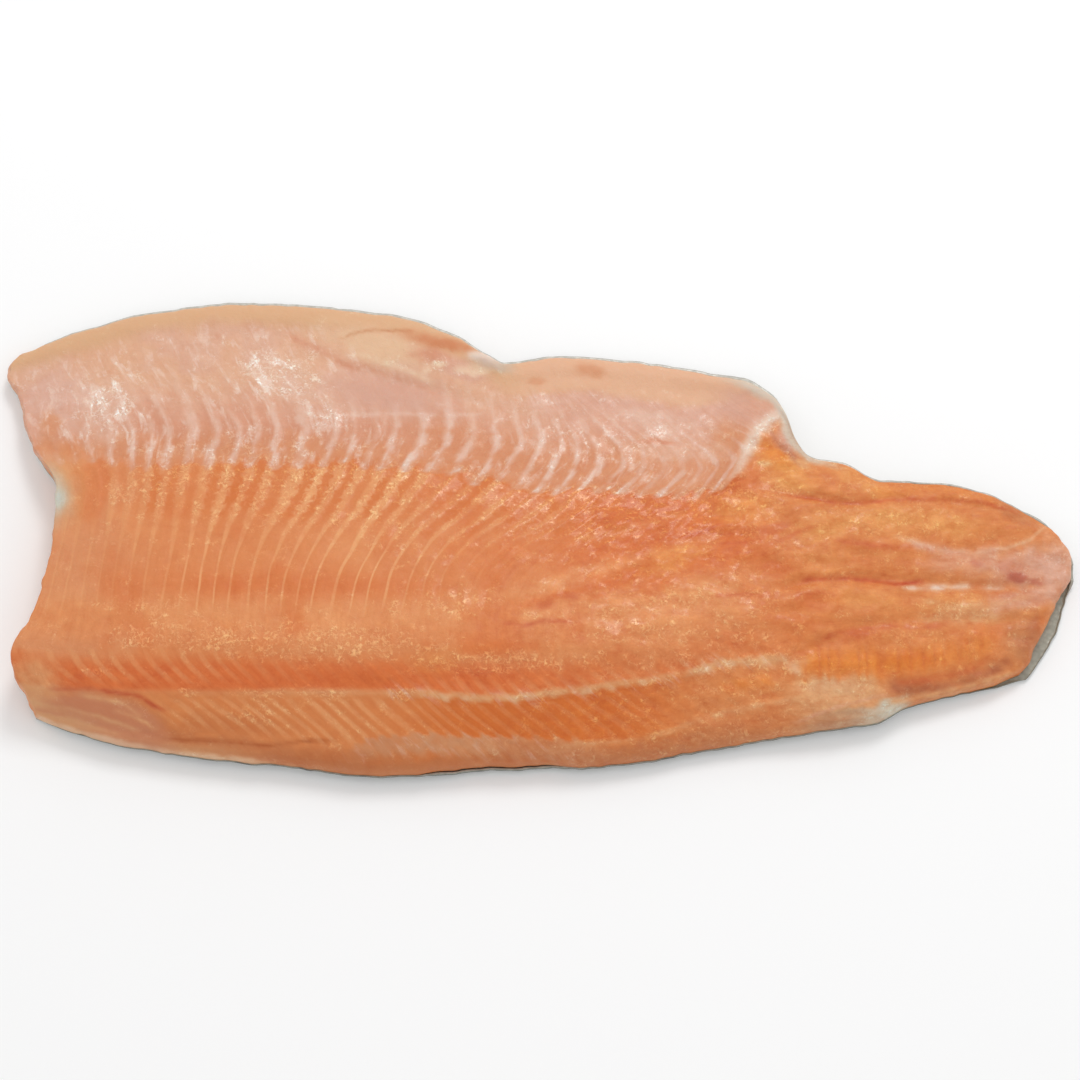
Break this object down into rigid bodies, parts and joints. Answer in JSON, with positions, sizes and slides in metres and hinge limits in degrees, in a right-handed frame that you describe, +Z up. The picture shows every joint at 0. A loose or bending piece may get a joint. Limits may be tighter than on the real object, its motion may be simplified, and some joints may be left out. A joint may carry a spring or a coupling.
{
  "type": "raw salmon trout fillet",
  "caption": "Raw salmon trout fillet lying on its skin: thick loin ridge, thin belly flap with a rounded rim, step at the vent, grooved tail and slanting muscle flakes in relief.",
  "frame": {"origin": "middle of the fillet's box, on the surface that it lies on", "axes": "+X from the head cut to the tail, +Y from the back edge to the belly edge, +Z up out of the cut flesh"},
  "size_m": [0.3656, 0.169, 0.026],
  "materials": {
    "flesh": "wet raw fish flesh, satin"
  },
  "bodies": {
    "root": {"fillet": "flesh"}
  },
  "joints": []
}
